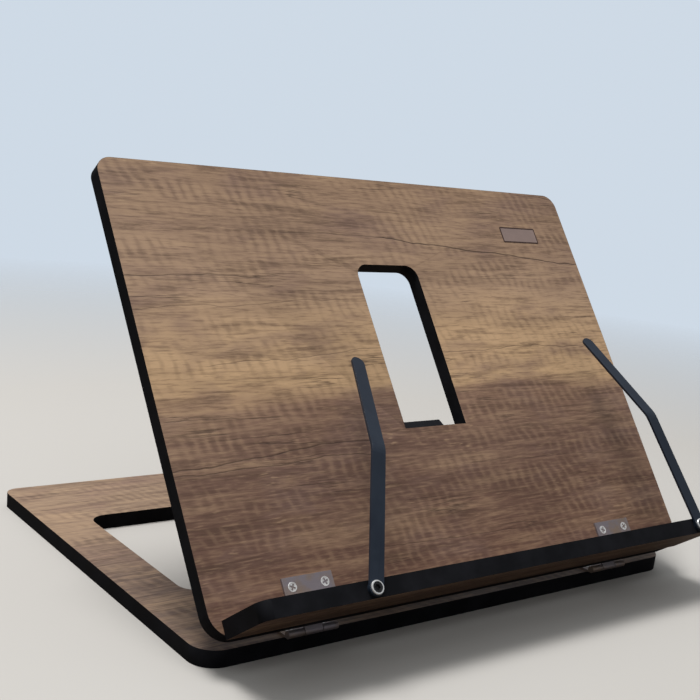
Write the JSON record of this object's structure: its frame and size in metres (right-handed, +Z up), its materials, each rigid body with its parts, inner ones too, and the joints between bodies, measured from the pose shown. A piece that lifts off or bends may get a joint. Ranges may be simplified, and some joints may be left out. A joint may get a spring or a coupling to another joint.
{
  "type": "folding book stand",
  "caption": "Folding wooden book stand: base with a window, tilting board with a cut-out support leg, folding ledge and swinging page arms.",
  "frame": {"origin": "on the table, under the middle of the base's front rail", "axes": "+X along the ledge to the reader's right, +Y to the back of the base, +Z up"},
  "size_m": [0.3, 0.2601, 0.1966],
  "materials": {
    "wood_laminate": "matt printed wood laminate with black edges",
    "hinge_nickel": "satin nickel plate",
    "screw_steel": "bright zinc plate",
    "arm_paint": "satin dark slate-blue paint"
  },
  "bodies": {
    "base": {"base_panel": "wood_laminate", "front_hinge_base_screws": "screw_steel", "left_front_hinge_base_leaf": "hinge_nickel", "right_front_hinge_base_leaf": "hinge_nickel"},
    "reading_board": {"reading_board": "wood_laminate", "front_hinge_board_screws": "screw_steel", "ledge_hinge_board_screws": "screw_steel", "left_front_hinge_board_leaf": "hinge_nickel", "right_front_hinge_board_leaf": "hinge_nickel", "left_ledge_hinge_board_leaf": "hinge_nickel", "right_ledge_hinge_board_leaf": "hinge_nickel", "leg_hinge_board_leaf": "hinge_nickel", "leg_hinge_board_screws": "screw_steel"},
    "ledge": {"page_ledge": "wood_laminate", "ledge_hinge_ledge_screws": "screw_steel", "left_ledge_hinge_ledge_leaf": "hinge_nickel", "right_ledge_hinge_ledge_leaf": "hinge_nickel", "left_arm_washer": "screw_steel", "right_arm_washer": "screw_steel", "left_arm_screw": "screw_steel", "right_arm_screw": "screw_steel"},
    "support_leg": {"support_leg": "wood_laminate", "leg_hinge_leg_leaf": "hinge_nickel", "leg_hinge_leg_screws": "screw_steel"},
    "left_arm": {"left_page_arm": "arm_paint"},
    "right_arm": {"right_page_arm": "arm_paint"}
  },
  "joints": [
    {"name": "board_tilt", "type": "hinge", "parent": "base", "child": "reading_board", "pos_m": [0, -0.0308, 0.0098], "axis": [1, 0, 0], "range_deg": [-53.25, 8]},
    {"name": "leg_swing", "type": "hinge", "parent": "reading_board", "child": "support_leg", "pos_m": [0, 0.01964, 0.07735], "axis": [1, 0, 0], "range_deg": [-17.7, 117.16]},
    {"name": "ledge_fold", "type": "hinge", "parent": "reading_board", "child": "ledge", "pos_m": [0, -0.03315, 0.02603], "axis": [1, 0, 0], "range_deg": [-6, 0]},
    {"name": "left_arm_swing", "type": "hinge", "parent": "ledge", "child": "left_arm", "pos_m": [-0.0906, -0.06082, 0.03946], "axis": [0, -0.8013, 0.5983], "range_deg": [-39.2, 100.8]},
    {"name": "right_arm_swing", "type": "hinge", "parent": "ledge", "child": "right_arm", "pos_m": [0.1275, -0.06082, 0.03946], "axis": [0, -0.8013, 0.5983], "range_deg": [-86, 54]}
  ],
  "couplings": [
    {"joint": "leg_swing", "follows": "board_tilt", "ratio": -2.2}
  ]
}
